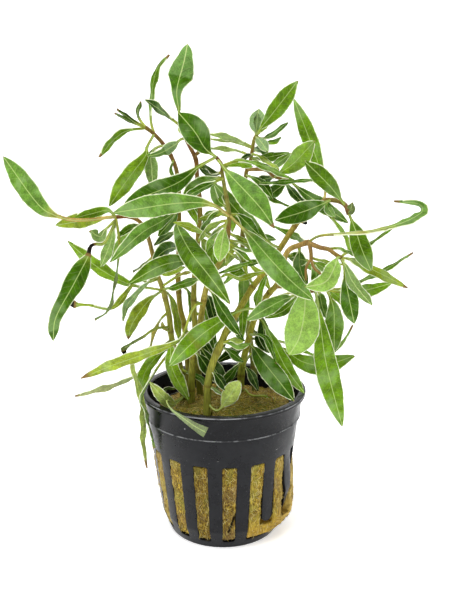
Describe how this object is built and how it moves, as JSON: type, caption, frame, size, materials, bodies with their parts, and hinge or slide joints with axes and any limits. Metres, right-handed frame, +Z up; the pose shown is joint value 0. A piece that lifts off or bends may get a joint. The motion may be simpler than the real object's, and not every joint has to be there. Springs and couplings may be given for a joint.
{
  "type": "potted aquarium plant",
  "caption": "White-edged Ludwigia inclinata standing in a slotted black net pot filled with rockwool, with long narrow leaves.",
  "frame": {"origin": "centre of the pot's underside, on the surface that it stands on", "axes": "+Z up the pot's axis, -Y towards the side that the picture shows, +X to the right there"},
  "size_m": [0.1297, 0.0668, 0.155],
  "materials": {
    "pot": "moulded black plastic, satin and a little wet",
    "rockwool": "matted mineral wool, wet, tan with brown and green stains",
    "stem": "living stem, satin, olive below and red brown above",
    "leaf": "living leaf, soft sheen, green with a pale midrib and a white edge"
  },
  "bodies": {
    "root": {"pot": "pot", "rockwool": "rockwool", "stem_left": "stem", "stem_back_left": "stem", "stem_middle": "stem", "stem_front": "stem", "stem_right": "stem", "stem_low_right": "stem", "stem_back": "stem", "leaf_left_1": "leaf", "leaf_left_2": "leaf", "leaf_left_3": "leaf", "leaf_left_4": "leaf", "leaf_left_5": "leaf", "leaf_left_6": "leaf", "leaf_left_7": "leaf", "leaf_left_8": "leaf", "leaf_left_9": "leaf", "leaf_left_10": "leaf", "leaf_back_left_1": "leaf", "leaf_back_left_2": "leaf", "leaf_back_left_3": "leaf", "leaf_back_left_4": "leaf", "leaf_back_left_5": "leaf", "leaf_middle_1": "leaf", "leaf_middle_2": "leaf", "leaf_middle_3": "leaf", "leaf_front_1": "leaf", "leaf_front_2": "leaf", "leaf_front_3": "leaf", "leaf_front_4": "leaf", "leaf_front_5": "leaf", "leaf_front_6": "leaf", "leaf_front_7": "leaf", "leaf_front_8": "leaf", "leaf_front_9": "leaf", "leaf_front_10": "leaf", "leaf_front_11": "leaf", "leaf_front_12": "leaf", "leaf_right_1": "leaf", "leaf_right_2": "leaf", "leaf_right_3": "leaf", "leaf_right_4": "leaf", "leaf_right_5": "leaf", "leaf_low_right_1": "leaf", "leaf_low_right_2": "leaf", "leaf_low_right_3": "leaf", "leaf_low_right_4": "leaf", "leaf_low_right_5": "leaf", "leaf_low_right_6": "leaf", "leaf_low_right_7": "leaf", "leaf_low_right_8": "leaf", "leaf_low_right_9": "leaf", "leaf_low_right_10": "leaf", "leaf_low_right_11": "leaf", "leaf_low_right_12": "leaf", "leaf_low_right_13": "leaf", "leaf_back_1": "leaf", "leaf_back_2": "leaf", "leaf_back_3": "leaf"}
  },
  "joints": []
}
